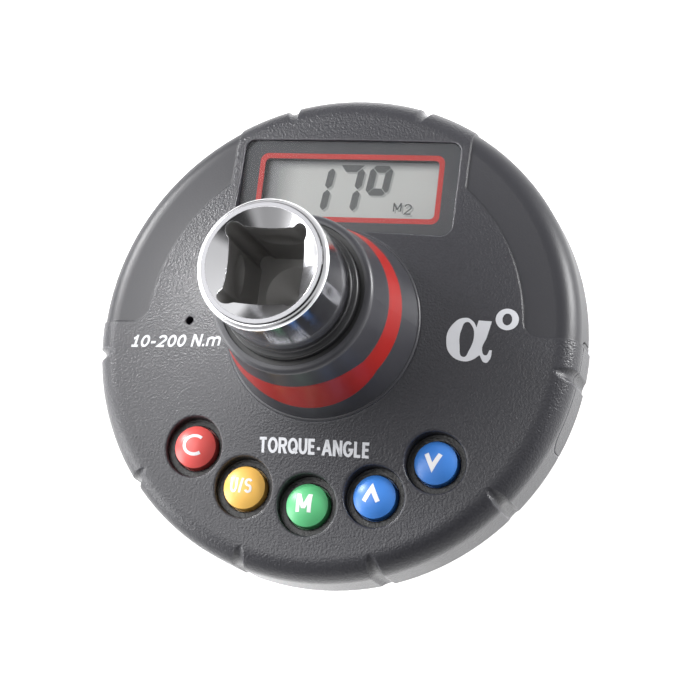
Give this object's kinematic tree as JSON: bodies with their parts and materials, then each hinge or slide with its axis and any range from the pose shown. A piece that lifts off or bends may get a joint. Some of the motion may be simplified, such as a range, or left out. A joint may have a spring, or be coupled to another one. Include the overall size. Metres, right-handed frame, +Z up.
{
  "type": "torque adapter",
  "caption": "Square-drive torque adapter: a chrome shaft through a round grey electronics housing with a display, coloured buttons, a red boss band and a rim battery door.",
  "frame": {"origin": "centre of the male square's end face, on the drive axis", "axes": "+Z up the drive axis from the male square to the square socket, +Y towards the display, +X to its right"},
  "size_m": [0.0884, 0.0882, 0.0862],
  "materials": {
    "chrome_shaft": "polished chrome plating on alloy steel",
    "spring_steel": "ground spring steel",
    "shell_plastic": "dark grey moulded plastic with a fine spark-eroded grain",
    "collar_plastic": "dark grey moulded plastic, smooth satin",
    "band_red": "smooth red moulded ring, low sheen",
    "seal_rubber": "smooth black rubber",
    "lens_clear": "clear flat acrylic window",
    "lens_print": "dark grey print behind the window",
    "line_print": "red printed line",
    "lcd_glass": "grey-green reflective liquid crystal panel",
    "inner_plastic": "black moulded plastic",
    "connector_rubber": "layered conductive silicone strip",
    "board_laminate": "green solder mask over glass laminate",
    "chip_epoxy": "moulded epoxy",
    "can_steel": "nickel-plated steel",
    "capacitor_ceramic": "fired ceramic",
    "gauge_film": "amber polyimide film",
    "wire_sleeve": "thin wire insulation",
    "cell_sleeve": "printed shrink sleeve",
    "button_red": "satin moulded plastic, red",
    "button_yellow": "satin moulded plastic, yellow",
    "button_green": "satin moulded plastic, green",
    "button_blue": "satin moulded plastic, blue"
  },
  "bodies": {
    "housing": {"drive_shaft": "chrome_shaft", "front_shell": "shell_plastic", "back_shell": "shell_plastic", "boss_collar": "collar_plastic", "red_band": "band_red", "upper_seal": "seal_rubber", "lower_seal": "seal_rubber", "shell_gasket": "seal_rubber", "retaining_ring": "spring_steel", "locating_pin": "spring_steel", "display_lens": "lens_clear", "display_mask": "lens_print", "display_line": "line_print", "lcd_panel": "lcd_glass", "lcd_frame": "inner_plastic", "lcd_connector": "connector_rubber", "circuit_board": "board_laminate", "processor_chip": "chip_epoxy", "amplifier_chip": "chip_epoxy", "gyroscope_chip": "chip_epoxy", "crystal": "can_steel", "capacitors": "capacitor_ceramic", "sounder": "inner_plastic", "strain_gauges": "gauge_film", "gauge_wires": "wire_sleeve", "battery_cradle": "inner_plastic", "battery_contact_inner": "can_steel", "shell_screws": "can_steel", "battery_cell_1": "cell_sleeve", "battery_cell_2": "cell_sleeve", "switch_clear": "inner_plastic", "switch_unit": "inner_plastic", "switch_memory": "inner_plastic", "switch_up": "inner_plastic", "switch_down": "inner_plastic"},
    "detent": {"detent_ball": "spring_steel", "detent_spring": "spring_steel"},
    "battery_door": {"battery_door": "shell_plastic", "battery_contact_outer": "can_steel"},
    "button_clear": {"button_clear": "button_red"},
    "button_unit": {"button_unit": "button_yellow"},
    "button_memory": {"button_memory": "button_green"},
    "button_up": {"button_up": "button_blue"},
    "button_down": {"button_down": "button_blue"}
  },
  "joints": [
    {"name": "clear_press", "type": "slide", "parent": "housing", "child": "button_clear", "axis": [0, 0, -1], "range_m": [0, 0.0008], "stiffness_N_per_m": 800, "springref_m": -0.0003},
    {"name": "unit_press", "type": "slide", "parent": "housing", "child": "button_unit", "axis": [0, 0, -1], "range_m": [0, 0.0008], "stiffness_N_per_m": 800, "springref_m": -0.0003},
    {"name": "memory_press", "type": "slide", "parent": "housing", "child": "button_memory", "axis": [0, 0, -1], "range_m": [0, 0.0008], "stiffness_N_per_m": 800, "springref_m": -0.0003},
    {"name": "up_press", "type": "slide", "parent": "housing", "child": "button_up", "axis": [0, 0, -1], "range_m": [0, 0.0008], "stiffness_N_per_m": 800, "springref_m": -0.0003},
    {"name": "down_press", "type": "slide", "parent": "housing", "child": "button_down", "axis": [0, 0, -1], "range_m": [0, 0.0008], "stiffness_N_per_m": 800, "springref_m": -0.0003},
    {"name": "detent_travel", "type": "slide", "parent": "housing", "child": "detent", "axis": [0, 1, 0], "range_m": [0, 0.0007], "stiffness_N_per_m": 1500, "springref_m": -0.001},
    {"name": "door_slide", "type": "slide", "parent": "housing", "child": "battery_door", "axis": [0, 0, -1], "range_m": [0, 0.02]}
  ]
}
